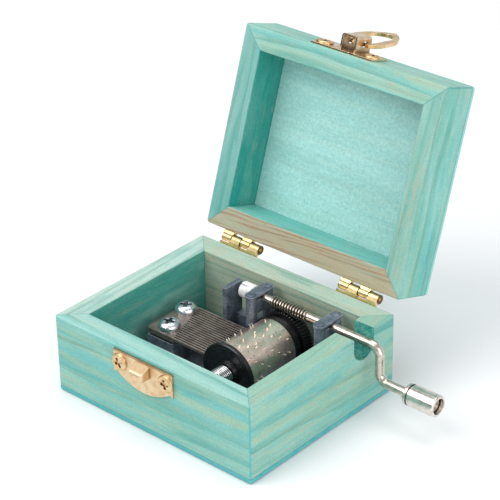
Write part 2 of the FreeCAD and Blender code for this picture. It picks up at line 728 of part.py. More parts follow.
def comb_pedestal():
    top = COMB_TOP - COMB_T - SPACER_T
    y1 = COMB_Y0 + COMB_W
    block = xy_prism([(COMB_X0, COMB_Y0 + 0.2), (ROOT_FRONT - 0.1, COMB_Y0 + 0.2),
                      (ROOT_BACK + 3.0, y1 - 0.2), (COMB_X0, y1 - 0.2)], BED_Z1 - 1, top)
    corner = edges_where(block, lambda e: is_vertical(e) and e.BoundBox.XMin > ROOT_FRONT - 0.2)
    return block.makeFillet(0.7, corner)


def upright():
    """Tall plate behind the comb that stops the shaft's inner end."""
    plate = box(UPRIGHT_X0, UPRIGHT_X1, SHAFT_Y - 5.0, SHAFT_Y + 1.4, BED_Z1 - 1, SHAFT_Z + 1.5)
    return plate.makeFillet(0.45, edges_where(plate, is_vertical))


def bed_slab():
    slab = box(BED_X0, BED_X1, BED_Y0, BED_Y1, BED_Z0, BED_Z1)
    slab = slab.makeFillet(2.5, edges_where(slab, is_vertical))
    y0 = -10.0
    window = box(CYL_X - 6.0, CYL_X + 6.0, y0, SHAFT_Y + WHEEL_W / 2 + 0.6, BED_Z0 - 1, BED_Z1 + 1)
    return slab.cut(window)


def rear_rail():
    """Low rib that ties the upright and the bearing stands together."""
    x1 = BRIDGE_XS["shaft_bridge_right"]
    left = box(-9.6, CYL_X - 9.2, SHAFT_Y - 1.2, SHAFT_Y + 1.2, BED_Z1 - 1, 12.4)
    right = box(CYL_X + 9.4, x1, SHAFT_Y - 1.2, SHAFT_Y + 1.2, BED_Z1 - 1, 11.0)
    return [left, right]


def movement_bedplate(screws):
    parts = [bed_slab(), comb_pedestal(), upright()]
    parts += rear_rail()
    parts += [arbor_post(-16.4, -14.0), arbor_post(17.2, 19.2)]
    parts += [bearing_stand(x) for x in BRIDGE_XS.values()]
    bed = join(parts)
    for screw in screws:
        bed = bed.cut(screw)
    return bed


def shaft_bridge(x):
    """Cap over one bearing stand: rounded bar with two stud holes."""
    z0, z1 = BRIDGE_TOP, BRIDGE_TOP + BRIDGE_T
    bar = box(x - CAP_HALF, x + CAP_HALF, POST_YS[0], POST_YS[1], z0, z1)
    bar = join([bar] + [rod_z(CAP_HALF, z0, z1, x, y) for y in POST_YS])
    for y in POST_YS:
        bar = bar.cut(rod_z(STUD_R, z0 - 1, z1 + 1, x, y))
    return bar


def bed_screws():
    screw = pan_screw(*BED_SCREW)
    return [placed(screw, V(x, y, SINK_DEPTH), V(0, 0, -1), 0) for x, y in BED_SCREWS]


def bottom_panel(screws):
    slab = panel(BOX_D / 2, 0, PANEL_T, 0)
    for screw, (x, y) in zip(screws, BED_SCREWS):
        slab = slab.cut(rod_z(SINK_R, -1, SINK_DEPTH, x, y)).cut(screw)
    return slab


# Assembly -------------------------------------------------------------------------

def make_base():
    catch_fixings = plate_screws(CATCH_TOP, -1, (28, 8))
    leaf_fixings = hinge_screws(BOX_D / 2, -1)
    base_walls(catch_fixings + [leaf_fixings])
    save("catch_plate", catch_plate(catch_fixings))
    save("catch_plate_screws", group(catch_fixings))
    save("hinge_base_screws", leaf_fixings)
    for side, x in (("left", -HINGE_X), ("right", HINGE_X)):
        spans = knuckle_spans(x)
        base_leaf = leaf(x, BOX_D / 2, -1, (spans[1], spans[3]), PIN_R)
        save("hinge_" + side + "_base_leaf", base_leaf.cut(leaf_fixings))
        save("hinge_" + side + "_pin", hinge_pin(x))


def make_lid():
    back = BOX_D / 2 - LID_BACK_SHY
    hasp_fixings = plate_screws(HASP_EDGE, 1, (15, 40))
    leaf_fixings = hinge_screws(back, 1)
    lid_walls(hasp_fixings + [leaf_fixings])
    save("lid_top_panel", open_lid(panel(back, LID_TOP - LID_PANEL_T, LID_TOP, LID_TOP)))
    save("hasp_plate", open_lid(hasp_plate(hasp_fixings)))
    save("hasp_plate_screws", open_lid(group(hasp_fixings)))
    save("hinge_lid_screws", open_lid(leaf_fixings))
    save("hasp_loop", open_lid(hasp_loop()))
    for side, x in (("left", -HINGE_X), ("right", HINGE_X)):
        spans = knuckle_spans(x)
        lid_leaf = leaf(x, back, 1, (spans[0], spans[2]), PIN_R + PIN_RUN)
        save("hinge_" + side + "_lid_leaf", open_lid(lid_leaf.cut(leaf_fixings)))


def make_movement():
    comb_fixings = comb_screws()
    bed_fixings = bed_screws()
    save("base_bottom_panel", bottom_panel(bed_fixings))
    save("movement_mount_screws", group(bed_fixings))
    save("movement_bedplate", movement_bedplate(bed_fixings + comb_fixings))
    save("comb", comb(comb_fixings))
    save("comb_screws", group(comb_fixings))
    save("comb_spacer", comb_spacer(comb_fixings))
    save("comb_tuning_weights", tuning_weights())
    for name, x in BRIDGE_XS.items():
        save(name, shaft_bridge(x))


def make_cylinder():
    save("cylinder_drum", cylinder_drum())
    save("cylinder_pins", cylinder_pins())
    save("cylinder_front_cap", front_cap())
    save("cylinder_rear_flange", rear_flange())
    save("drive_gear", drive_gear())
    save("cylinder_arbor", cylinder_arbor())
    save("thrust_spring", thrust_spring())


def make_crank():
    save("crank_shaft", crank_shaft())
    save("shaft_sleeve", shaft_sleeve())
    save("crank_knob", crank_knob())


make_base()
make_lid()
make_movement()
make_cylinder()
make_crank()
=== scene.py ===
import json
import math

import bpy
from mathutils import Matrix, Vector


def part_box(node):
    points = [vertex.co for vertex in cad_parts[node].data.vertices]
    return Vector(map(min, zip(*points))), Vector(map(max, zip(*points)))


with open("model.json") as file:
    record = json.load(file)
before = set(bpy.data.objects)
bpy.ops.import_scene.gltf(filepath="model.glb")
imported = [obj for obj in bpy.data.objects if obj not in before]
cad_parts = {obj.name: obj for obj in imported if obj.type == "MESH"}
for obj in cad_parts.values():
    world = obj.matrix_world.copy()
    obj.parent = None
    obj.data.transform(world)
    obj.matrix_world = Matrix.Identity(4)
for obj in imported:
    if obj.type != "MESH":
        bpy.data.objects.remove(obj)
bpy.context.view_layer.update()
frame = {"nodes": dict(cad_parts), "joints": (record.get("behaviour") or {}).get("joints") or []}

MM = 0.001
NODES = frame["nodes"]
JOINTS = {joint["name"]: joint for joint in frame["joints"]}


def corners(node):
    """A node's lowest and highest corners at rest, in millimetres."""
    return [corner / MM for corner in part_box(node)]


# The object's own lengths, in millimetres.
HALF_W, HALF_D = corners("base_bottom_panel")[1].xy
WALL = corners("base_left_wall")[1].x - corners("base_left_wall")[0].x
BASE_TOP = corners("base_front_wall")[1].z
LID_RIM = BASE_TOP + 0.05  # of the closed lid
LID_TOP = BASE_TOP + 12.3
FOOT_SEAM = 1.4  # the panel's thickness, and so its seam's height
CATCH_TOP = corners("catch_plate")[1].z
# width of the painted shade strip along the catch's top edge
CATCH_HEM_SHADE = 0.6
NOTCH_Y = 14.9
NOTCH_R = 3.85
BARREL_X = 13.3  # each hinge barrel's inner end, from the middle of the box
BARREL_R = 1.25
KNUCKLE = 3.15  # one knuckle's length, with its share of the gap
DRUM_R = 7.0
DRUM = Vector(JOINTS["cylinder_spin"]["pos_m"]) / MM

# The lid was drawn closed and is stored open, so its wood is textured in the closed place.
HINGE = Vector(JOINTS["lid_hinge"]["pos_m"]) / MM
LID_OPEN = math.radians(JOINTS["lid_hinge"]["range_deg"][1])

# The studio, in metres and degrees. The camera's angles are azimuth, elevation and roll.
FLOOR_FRONT, FLOOR_BEND, FLOOR_BACK = -0.9, 0.75, 1.0
WALL_HIGH, FLOOR_HALF = 1.6, 1.6
FLOOR_DROP = 0.0002
CARD_FAR, CARD_HIGH = 0.85, 0.4
CARD_TURNS = range(165, 256, 6)
AIM = (0.0, 0.0, 0.03)
CAMERA_PIVOT = (0.0, 0.0, 0.040)
CAMERA_ANGLES = (41.829, 29.038, -0.948)
CAMERA_RIGHT, CAMERA_UP, CAMERA_BACK = 0.006578, -0.000254, 0.475113
SENSOR_MM, LENS_MM = 36.0, 141.9


def rgb(r, g, b):
    """Display colour, 0 to 255, as the linear colour that a shader wants."""
    def linear(c):
        c /= 255
        return c / 12.92 if c <= 0.04045 else ((c + 0.055) / 1.055) ** 2.4
    return (linear(r), linear(g), linear(b), 1.0)


class Shader:
    """A material's node graph, with short names for the nodes used most."""

    def __init__(self, name):
        self.material = bpy.data.materials.new(name)
        self.material.use_nodes = True
        self.tree = self.material.node_tree
        self.tree.nodes.clear()
        self.surface = self.tree.nodes.new("ShaderNodeBsdfPrincipled")
        output = self.tree.nodes.new("ShaderNodeOutputMaterial")
        self.tree.links.new(self.surface.outputs[0], output.inputs[0])

    def node(self, kind, **settings):
        node = self.tree.nodes.new(kind)
        for key, value in settings.items():
            setattr(node, key, value)
        return node

    def feed(self, socket, value):
        if isinstance(value, bpy.types.NodeSocket):
            self.tree.links.new(value, socket)
        else:
            socket.default_value = value

    def math(self, kind, a, b=0.0, c=0.0, clamp=False):
        node = self.node("ShaderNodeMath", operation=kind, use_clamp=clamp)
        for socket, value in zip(node.inputs, (a, b, c)):
            self.feed(socket, value)
        return node.outputs[0]

    def vector(self, kind, a, b=(0, 0, 0)):
        node = self.node("ShaderNodeVectorMath", operation=kind)
        self.feed(node.inputs[0], a)
        self.feed(node.inputs[1], b)
        return node.outputs[1] if kind in ("LENGTH", "DISTANCE", "DOT_PRODUCT") else node.outputs[0]

    def combine(self, x, y, z):
        node = self.node("ShaderNodeCombineXYZ")
        for socket, value in zip(node.inputs, (x, y, z)):
            self.feed(socket, value)
        return node.outputs[0]

    def split(self, vector):
        node = self.node("ShaderNodeSeparateXYZ")
        self.feed(node.inputs[0], vector)
        return node.outputs

    def millimetres(self, closed_lid=False):
        at = self.node("ShaderNodeTexCoord").outputs["Object"]
        scaled = self.vector("MULTIPLY", at, (1 / MM, 1 / MM, 1 / MM))
        if not closed_lid:
            return scaled
        turn = self.node("ShaderNodeVectorRotate", rotation_type="X_AXIS")
        self.feed(turn.inputs["Vector"], scaled)
        turn.inputs["Center"].default_value = HINGE
        turn.inputs["Angle"].default_value = LID_OPEN
        return turn.outputs[0]

    def noise(self, at, scale, detail=2.0, rough=0.5, warp=0.0, colour=False):
        node = self.node("ShaderNodeTexNoise")
        self.feed(node.inputs["Vector"], at)
        node.inputs["Scale"].default_value = scale
        node.inputs["Detail"].default_value = detail
        node.inputs["Roughness"].default_value = rough
        node.inputs["Distortion"].default_value = warp
        return node.outputs[1 if colour else 0]

    def cells(self, at, scale, feature="F1"):
        node = self.node("ShaderNodeTexVoronoi", feature=feature)
        self.feed(node.inputs["Vector"], at)
        node.inputs["Scale"].default_value = scale
        return node.outputs["Distance"]

    def span(self, value, low, high, to_low=0.0, to_high=1.0, smooth=True):
        """Map a value from one range to another, clamped."""
        node = self.node("ShaderNodeMapRange", clamp=True,
                         interpolation_type="SMOOTHSTEP" if smooth else "LINEAR")
        for socket, item in zip(node.inputs, (value, low, high, to_low, to_high)):
            self.feed(socket, item)
        return node.outputs[0]

    def mix(self, share, a, b, blend="MIX"):
        node = self.node("ShaderNodeMix", data_type="RGBA", blend_type=blend)
        self.feed(node.inputs[0], share)
        self.feed(node.inputs[6], a)
        self.feed(node.inputs[7], b)
        return node.outputs[2]

    def ramp(self, value, stops):
        node = self.node("ShaderNodeValToRGB")
        self.feed(node.inputs[0], value)
        ramp = node.color_ramp
        while len(ramp.elements) < len(stops):
            ramp.elements.new(0.5)
        for element, (spot, colour) in zip(ramp.elements, stops):
            element.position = spot
            element.color = colour
        return node.outputs[0]

    def rounded(self, radius):
        """Surface direction with the edges softened by that many millimetres."""
        node = self.node("ShaderNodeBevel", samples=6)
        node.inputs["Radius"].default_value = radius * MM
        return node.outputs[0]

    def edge_share(self, radius, sharp=3.0):
        """1 on the sharp edges, falling to 0 away from them."""
        flat = self.node("ShaderNodeNewGeometry").outputs["Normal"]
        same = self.vector("DOT_PRODUCT", self.rounded(radius), flat)
        return self.math("MULTIPLY", self.math("SUBTRACT", 1.0, same), sharp, clamp=True)

    def occlusion_shade(self, reach):
        """Ambient occlusion: 1 in the open, falling to 0 in recesses about that many millimetres
        deep. The materials use it to paint shade into their colour.
        """
        node = self.node("ShaderNodeAmbientOcclusion", samples=8, only_local=True)
        node.inputs["Distance"].default_value = reach * MM
        return node.outputs["AO"]

    def bump(self, height, strength, depth, normal=None):
        node = self.node("ShaderNodeBump")
        node.inputs["Strength"].default_value = strength
        node.inputs["Distance"].default_value = depth * MM
        self.feed(node.inputs["Height"], height)
        if normal is not None:
            self.feed(node.inputs["Normal"], normal)
        return node.outputs[0]

    def finish(self, colour, roughness, normal=None, **sockets):
        self.feed(self.surface.inputs["Base Color"], colour)
        self.feed(self.surface.inputs["Roughness"], roughness)
        if normal is not None:
            self.feed(self.surface.inputs["Normal"], normal)
        for key, value in sockets.items():
            self.surface.inputs[key.replace("_", " ")].default_value = value
        return self.material


# Stained wood ---------------------------------------------------------------------

AQUA = rgb(104, 184, 178)
TEAL = rgb(36, 148, 144)
SEA = rgb(128, 184, 164)
PALE = rgb(166, 206, 196)
TAN = rgb(188, 166, 132)
BROWN = rgb(168, 112, 76)
LATE_WOOD = rgb(62, 148, 138)
BASE_POOL = rgb(40, 172, 184)
LID_POOL = rgb(48, 150, 148)
SEAM_DARK = rgb(14, 104, 110)
NOTCH_DEEP_TONE = rgb(30, 120, 112)


class Grain:
    """Coordinates that follow one board's grain. along is the grain's axis."""

    def __init__(self, s, here, along, seed):
        self.s, self.seed = s, seed
        x, y, z = s.split(here)
        self.run, u, v = {"x": (x, y, z), "y": (y, x, z)}[along]
        slow = s.combine(s.math("MULTIPLY", self.run, 0.05), s.math("MULTIPLY", u, 0.4),
                         s.math("MULTIPLY", v, 0.4))
        slow = s.vector("ADD", slow, self.place(0))
        self.u = self.sway(u, slow)
        self.v = self.sway(v, s.vector("ADD", slow, (31, 17, 5)))

    def place(self, salt):
        """Somewhere of its own in the noise, for each board and layer."""
        return (self.seed * 7.3 + salt, self.seed * 3.1 - salt, self.seed * 5.7 + salt)

    def sway(self, across, slow):
        """The grain wanders slowly from side to side, by up to 2.5 mm."""
        swing = self.s.math("SUBTRACT", self.s.noise(slow, 0.4), 0.5)
        return self.s.math("ADD", across, self.s.math("MULTIPLY", swing, 5.0))

    def drawn(self, squeeze, salt):
        """The place in the board, squeezed along the grain so that noise turns into streaks."""
        line = self.s.combine(self.s.math("MULTIPLY", self.run, squeeze), self.u, self.v)
        return self.s.vector("ADD", line, self.place(salt))

    def late_wood(self, pith, tilt, spacing):
        """Share of dark late wood, in growth rings about a slightly tilted heart."""
        s = self.s
        du, dv = (s.math("ADD", s.math("SUBTRACT", at, heart), s.math("MULTIPLY", self.run, lean))
                  for at, heart, lean in zip((self.u, self.v), pith, tilt))
        radius = s.vector("LENGTH", s.combine(du, dv, 0.0))
        ring = s.math("FRACT", s.math("DIVIDE", radius, spacing))
        late = s.math("MULTIPLY", s.span(ring, 0.3, 0.88), s.span(ring, 0.99, 0.9))
        return s.math("MULTIPLY", late, s.span(s.noise(self.drawn(0.03, 41), 0.5, 2.0), 0.38, 0.6))


def pooled_stain(s, here, colour, lid, mitred):
    """Stain that pools along the corners, the mitres and the foot, and the panel's seam."""
    x, y, z = s.split(here)
    in_x = s.math("SUBTRACT", HALF_W, s.math("ABSOLUTE", x))
    in_y = s.math("SUBTRACT", HALF_D, s.math("ABSOLUTE", y))
    ragged = s.math("MULTIPLY", s.noise(here, 1.1, 2.0), 0.5)
    pooled = s.span(s.math("ADD", s.math("MAXIMUM", in_x, in_y), ragged), 0.95, 0.3)
    if mitred:
        mitre = s.math("ABSOLUTE", s.math("SUBTRACT", in_x, in_y))
        pooled = s.math("MAXIMUM", pooled, s.span(mitre, 0.2, 0.06, 0.0, 0.7))
    from_foot = s.math("SUBTRACT", LID_TOP, z) if lid else z
    foot = s.span(s.math("ADD", from_foot, ragged), 1.9, 1.2, 0.0, 0.6 if lid else 0.7)
    pooled = s.math("MAXIMUM", pooled, foot)
    colour = s.mix(s.math("MULTIPLY", pooled, 0.75), colour, LID_POOL if lid else BASE_POOL)
    seam = s.math("ABSOLUTE", s.math("SUBTRACT", from_foot, FOOT_SEAM))
    return s.mix(s.span(seam, 0.2, 0.06, 0.0, 0.4), colour, SEAM_DARK)


def stained_wood(name, along, pith, tilt=(0.02, 0.0), spacing=2.2, main=AQUA, second=SEA,
                 pale=0.4, teal=0.3, tan=0.25, bands=0.5, inner=(TEAL, 0.0), rim=(SEA, 0.0),
                 brown=0.0, seed=0.0, lid=False, mitred=True):
    """Turquoise stain on pine. along is the grain's axis, pith the heart's offset in mm.

    pale, teal, tan, bands and brown are the shares of those streaks. inner and rim give a
    colour and a share of it for the inside faces and the sanded rim.
    """
    s = Shader(name)
    here = s.millimetres(lid)
    x, y, z = s.split(here)
    grain = Grain(s, here, along, seed)
    late = grain.late_wood(pith, tilt, spacing)
    broad = s.noise(grain.drawn(0.02, 3), 0.42, 4.0, 0.6)
    streak = s.noise(grain.drawn(0.02, 11), 2.2, 4.0, 0.7)
    fleck = s.noise(grain.drawn(0.06, 23), 3.6, 2.0, 0.6)
    patch = s.noise(grain.drawn(0.3, 37), 0.12, 3.0, 0.6)
    speck = s.noise(here, 2.6, 4.0, 0.8)
    fibre = s.noise(grain.drawn(0.05, 53), 5.0, 3.0, 0.7)

    # the board's two tones, then the inside faces and the rim
    colour = s.mix(s.span(broad, 0.36, 0.64), main, second)
    inside = s.span(s.math("MAXIMUM", s.math("SUBTRACT", s.math("ABSOLUTE", x), HALF_W - WALL),
                           s.math("SUBTRACT", s.math("ABSOLUTE", y), HALF_D - WALL)), 0.3, 0.05)
    rim_z, into = (LID_RIM, 1) if lid else (BASE_TOP, -1)
    on_rim = s.span(z, rim_z + into * 0.35, rim_z + into * 0.1)
    mottle = s.span(streak, 0.3, 0.7, 0.8, 1.1, smooth=False)
    for where, (tint, share) in ((inside, inner), (on_rim, rim)):
        amount = s.math("MULTIPLY", s.math("MULTIPLY", where, share), mottle, clamp=True)
        colour = s.mix(amount, colour, tint)

    # streaks and patches where the stain took less or more
    for noise, start, end, share, tint in (
            (patch, 0.46, 0.66, pale, PALE), (streak, 0.5, 0.78, pale, PALE),
            (streak, 0.47, 0.26, teal, TEAL), (patch, 0.46, 0.34, teal * 0.6, TEAL)):
        colour = s.mix(s.math("MULTIPLY", s.span(noise, start, end), share), colour, tint)
    colour = s.mix(s.math("MULTIPLY", late, bands), colour, LATE_WOOD)

    # bare wood shows in short flecks and in long dry streaks
    shown = s.math("MULTIPLY", s.span(fleck, 0.52, 0.7),
                   s.span(s.noise(grain.drawn(0.12, 61), 0.3, 2.0), 0.4, 0.62))
    colour = s.mix(s.math("MULTIPLY", shown, tan * 1.3, clamp=True), colour, TAN)
    dry = s.span(s.noise(grain.drawn(0.012, 71), 1.1, 3.0, 0.6), 0.56, 0.72)
    colour = s.mix(s.math("MULTIPLY", dry, tan * 0.8), colour, TAN)
    if brown:
        warm = s.math("MULTIPLY", s.math("MULTIPLY", late, on_rim), brown, clamp=True)
        colour = s.mix(warm, colour, BROWN)
    light = s.math("MULTIPLY", s.span(fibre, 0.28, 0.72, 0.9, 1.08, smooth=False),
                   s.span(speck, 0.32, 0.68, 0.84, 1.15, smooth=False))
    colour = s.mix(1.0, colour, s.combine(light, light, light), "MULTIPLY")
    colour = s.mix(s.span(speck, 0.6, 0.76, 0.0, 0.35), colour, TAN)
    colour = pooled_stain(s, here, colour, lid, mitred)

    height = s.math("ADD", s.math("MULTIPLY", fibre, 0.7), s.math("MULTIPLY", late, 0.5))
    normal = s.bump(height, 0.3, 0.1, s.rounded(0.25))
    rough = s.span(fibre, 0.3, 0.7, 0.64, 0.5)
    return s.finish(colour, rough, normal, Specular_IOR_Level=0.3)


def notch_wood():
    """Raw, rough wood inside the cut for the crank, darker the deeper it lies below the rim."""
    s = Shader("notch_wood")
    here = s.millimetres()
    below = s.math("SUBTRACT", BASE_TOP, s.split(here)[2])
    speck = s.noise(here, 2.4, 4.0, 0.8)
    broad = s.noise(here, 0.5, 2.0)
    tone = s.math("ADD", s.math("MULTIPLY", speck, 0.75), s.math("MULTIPLY", broad, 0.25))
    colour = s.ramp(tone, ((0.36, rgb(14, 100, 100)), (0.46, rgb(50, 152, 144)),
                           (0.54, rgb(110, 186, 168)), (0.64, rgb(176, 196, 168))))
    # darker towards the bottom of the cut
    colour = s.mix(s.span(below, 3.5, 6.5, 0.0, 0.45), colour, NOTCH_DEEP_TONE)
    return s.finish(colour, 0.8, s.bump(speck, 0.6, 0.2), Specular_IOR_Level=0.2)


# Metals and plastics --------------------------------------------------------------

def latch_metal(name, light, dark, rough, tarnish=0.12, hem_shade=0.0, shade_reach=1.0):
    """Satin brass plate. hem_shade is the share of painted shade on the folded strip along the
    catch's top edge, where its rounded edge turns from the light, and shade_reach is how deep a
    recess must be, in mm, to get painted shade."""
    s = Shader(name)
    here = s.millimetres()
    cloud = s.noise(here, 0.5, 4.0, 0.6, 0.4)
    grainy = s.noise(here, 5.0, 3.0, 0.6)
    stained = s.math("MULTIPLY", s.span(grainy, 0.58, 0.75), tarnish)
    worn = s.math("MULTIPLY", s.edge_share(0.12, 4.0), 0.4)
    colour = s.mix(s.span(cloud, 0.36, 0.7), light, dark)
    colour = s.mix(stained, colour, rgb(120, 78, 40))
    colour = s.mix(worn, colour, rgb(252, 232, 204))
    # painted shade: dark brown in recesses, from ambient occlusion
    colour = s.mix(s.span(s.occlusion_shade(shade_reach), 0.3, 0.85, 0.9, 0.0), colour, rgb(84, 54, 26))
    # painted shade along the catch's rounded top edge, where it turns away from the light
    if hem_shade:
        below = s.math("SUBTRACT", CATCH_TOP, s.split(here)[2])
        strip = s.span(below, CATCH_HEM_SHADE, CATCH_HEM_SHADE - 0.25, 0.0, hem_shade)
        colour = s.mix(strip, colour, rgb(120, 84, 48))
    roughness = s.span(cloud, 0.3, 0.7, rough - 0.05, rough + 0.07)
    height = s.math("ADD", s.math("MULTIPLY", cloud, 0.3), s.math("MULTIPLY", grainy, 0.1))
    normal = s.bump(height, 0.25, 0.05, s.rounded(0.12))
    return s.finish(colour, roughness, normal, Metallic=1.0)


def hinge_metal():
    """Pale brass with a dark line where one knuckle meets the next."""
    s = Shader("hinge_metal")
    here = s.millimetres()
    cloud = s.noise(here, 0.8, 3.0, 0.6)
    drawn = s.noise(s.vector("MULTIPLY", here, (0.15, 1.0, 1.0)), 5.0, 3.0, 0.6)
    colour = s.mix(s.span(cloud, 0.35, 0.68), rgb(240, 216, 166), rgb(218, 188, 130))
    colour = s.mix(s.span(drawn, 0.62, 0.8, 0.0, 0.3), colour, rgb(140, 112, 64))
    x, y, z = s.split(here)
    along = s.math("DIVIDE", s.math("SUBTRACT", s.math("ABSOLUTE", x), BARREL_X), KNUCKLE)
    from_middle = s.math("ABSOLUTE", s.math("SUBTRACT", s.math("FRACT", along), 0.5))
    gap = s.math("SUBTRACT", 0.5, from_middle)
    off_axis = s.vector("LENGTH", s.combine(0.0, s.math("SUBTRACT", y, HINGE.y),
                                            s.math("SUBTRACT", z, HINGE.z)))
    on_barrel = s.span(off_axis, BARREL_R + 0.15, BARREL_R)
    seam = s.math("MULTIPLY", s.span(gap, 0.06, 0.03, 0.0, 0.9), on_barrel)
    colour = s.mix(seam, colour, rgb(52, 38, 16))
    # painted shade: darker in recesses, from ambient occlusion
    colour = s.mix(s.span(s.occlusion_shade(0.8), 0.2, 0.8, 0.7, 0.0), colour, rgb(80, 60, 26))
    normal = s.bump(drawn, 0.05, 0.03)
    return s.finish(colour, s.span(cloud, 0.3, 0.7, 0.3, 0.4), normal, Metallic=1.0)


def nickel(name, along, base=(206, 200, 192), rough=0.24, shade_reach=0.7):
    """Nickel plate with faint drawing lines along one axis, with painted shade in its recesses."""
    s = Shader(name)
    here = s.millimetres()
    shrink = {"x": (0.05, 1, 1), "y": (1, 0.05, 1), "z": (1, 1, 0.05)}[along]
    drawn = s.noise(s.vector("MULTIPLY", here, shrink), 4.0, 3.0, 0.6)
    cloud = s.noise(here, 0.7, 4.0, 0.6)
    pits = s.noise(here, 4.0, 3.0, 0.7)
    colour = s.mix(s.span(cloud, 0.35, 0.7), rgb(*base), rgb(*(c * 0.86 for c in base)))
    colour = s.mix(s.span(pits, 0.62, 0.8, 0.0, 0.3), colour, rgb(110, 96, 84))
    roughness = s.math("ADD", s.span(drawn, 0.3, 0.7, rough - 0.04, rough + 0.06),
                       s.span(pits, 0.55, 0.8, 0.0, 0.08))
    # painted shade: near black in recesses, from ambient occlusion
    colour = s.mix(s.span(s.occlusion_shade(shade_reach), 0.25, 0.8, 0.85, 0.0), colour, rgb(30, 24, 20))
    normal = s.bump(s.math("ADD", drawn, s.math("MULTIPLY", pits, 0.4)), 0.02, 0.02)
    return s.finish(colour, roughness, normal, Metallic=1.0)


def drum_metal():
    """Plated sleeve: turned lines round the axis, burnished bands and tiny spots, each a pale ring
    round a dark dot that is a painted pin shadow.
    """
    s = Shader("drum_metal")
    x, y, z = s.split(s.millimetres())
    angle = s.math("ARCTAN2", s.math("SUBTRACT", x, DRUM.x), s.math("SUBTRACT", z, DRUM.z))
    around = s.math("MULTIPLY", angle, DRUM_R)
    turned = s.noise(s.combine(s.math("MULTIPLY", around, 0.07), y, 0.0), 6.0, 3.0)
    cloud = s.noise(s.combine(s.math("MULTIPLY", around, 0.7), s.math("MULTIPLY", y, 0.35), 0.0),
                    0.6, 4.0, 0.6)
    spots = s.cells(s.combine(around, y, 0.0), 0.8)
    chosen = s.span(s.noise(s.combine(around, y, 3.0), 0.5, 2.0), 0.42, 0.5)
    colour = s.mix(s.span(cloud, 0.35, 0.7), rgb(252, 228, 212), rgb(226, 200, 184))
    # pale rings, then dark dots inside them: painted shadows of pins
    for outer, inner, share, tint in ((0.34, 0.24, 0.6, rgb(252, 250, 244)),
                                      (0.2, 0.12, 0.9, rgb(46, 36, 28))):
        spot = s.math("MULTIPLY", s.span(spots, outer, inner), s.math("MULTIPLY", chosen, share))
        colour = s.mix(spot, colour, tint)
    roughness = s.span(turned, 0.3, 0.7, 0.26, 0.38)
    return s.finish(colour, roughness, s.bump(turned, 0.05, 0.03), Metallic=1.0)


def zinc_casting():
    """Rough grey die casting, with painted highlights on its edges and painted shade in its
    corners.
    """
    s = Shader("zinc_casting")
    here = s.millimetres()
    skin = s.noise(here, 2.2, 5.0, 0.75)
    cloud = s.noise(here, 0.35, 3.0, 0.5)
    tone = s.math("ADD", s.math("MULTIPLY", skin, 0.6), s.math("MULTIPLY", cloud, 0.4))
    colour = s.ramp(tone, ((0.36, rgb(72, 80, 92)), (0.5, rgb(110, 120, 134)),
                           (0.62, rgb(154, 164, 176))))
    # painted highlight: paler on the sharp edges
    colour = s.mix(s.math("MULTIPLY", s.edge_share(0.22, 3.5), 0.7), colour, rgb(206, 214, 222))
    # painted shade: near black in corners and recesses, from ambient occlusion
    colour = s.mix(s.span(s.occlusion_shade(1.2), 0.25, 0.8, 0.8, 0.0), colour, rgb(30, 34, 40))
    normal = s.bump(skin, 0.35, 0.1, s.rounded(0.2))
    return s.finish(colour, s.span(skin, 0.3, 0.7, 0.44, 0.6), normal, Metallic=0.55)


def comb_steel():
    """Ground spring steel; the grinding lines run across the teeth."""
    s = Shader("comb_steel")
    here = s.millimetres()
    ground = s.noise(s.vector("MULTIPLY", here, (1.0, 0.05, 1.0)), 2.5, 3.0, 0.6)
    cloud = s.noise(here, 0.35, 4.0, 0.6)
    colour = s.mix(s.span(cloud, 0.35, 0.68), rgb(152, 140, 132), rgb(120, 110, 104))
    colour = s.mix(s.span(ground, 0.58, 0.76, 0.0, 0.35), colour, rgb(196, 186, 178))
    colour = s.mix(s.math("MULTIPLY", s.edge_share(0.08, 3.0), 0.5), colour, rgb(214, 206, 198))
    # painted shade: near black in the slots and recesses, from ambient occlusion
    colour = s.mix(s.span(s.occlusion_shade(0.5), 0.5, 0.9, 0.95, 0.0), colour, rgb(22, 20, 20))
    normal = s.bump(ground, 0.12, 0.03, s.rounded(0.06))
    return s.finish(colour, s.span(ground, 0.3, 0.7, 0.4, 0.52), normal, Metallic=0.85)


def painted_shade_steel():
    """Bar between the comb and its seat, painted near black as painted shade: it stands in for the
    shadow under the comb.
    """
    s = Shader("painted_shade_steel")
    here = s.millimetres()
    cloud = s.noise(here, 1.2, 4.0, 0.65)
    colour = s.mix(s.span(cloud, 0.35, 0.68), rgb(38, 40, 38), rgb(62, 66, 60))
    roughness = s.span(cloud, 0.3, 0.7, 0.45, 0.65)
    return s.finish(colour, roughness, s.bump(cloud, 0.2, 0.05), Metallic=0.6)


def screw_plate():
    """Bright zinc plate, slightly uneven."""
    s = Shader("screw_plate")
    here = s.millimetres()
    cloud = s.noise(here, 1.4, 4.0, 0.6)
    fine = s.noise(here, 9.0, 2.0, 0.6)
    colour = s.mix(s.span(cloud, 0.35, 0.7), rgb(236, 240, 244), rgb(196, 202, 210))
    colour = s.mix(s.math("MULTIPLY", s.span(fine, 0.6, 0.8), 0.3), colour, rgb(120, 122, 126))
    # painted shade: darker in recesses, from ambient occlusion
    colour = s.mix(s.span(s.occlusion_shade(1.2), 0.2, 0.8, 0.7, 0.0), colour, rgb(74, 80, 88))
    height = s.math("ADD", cloud, s.math("MULTIPLY", fine, 0.4))
    normal = s.bump(height, 0.5, 0.1, s.rounded(0.14))
    return s.finish(colour, s.span(cloud, 0.3, 0.7, 0.14, 0.28), normal, Metallic=1.0)


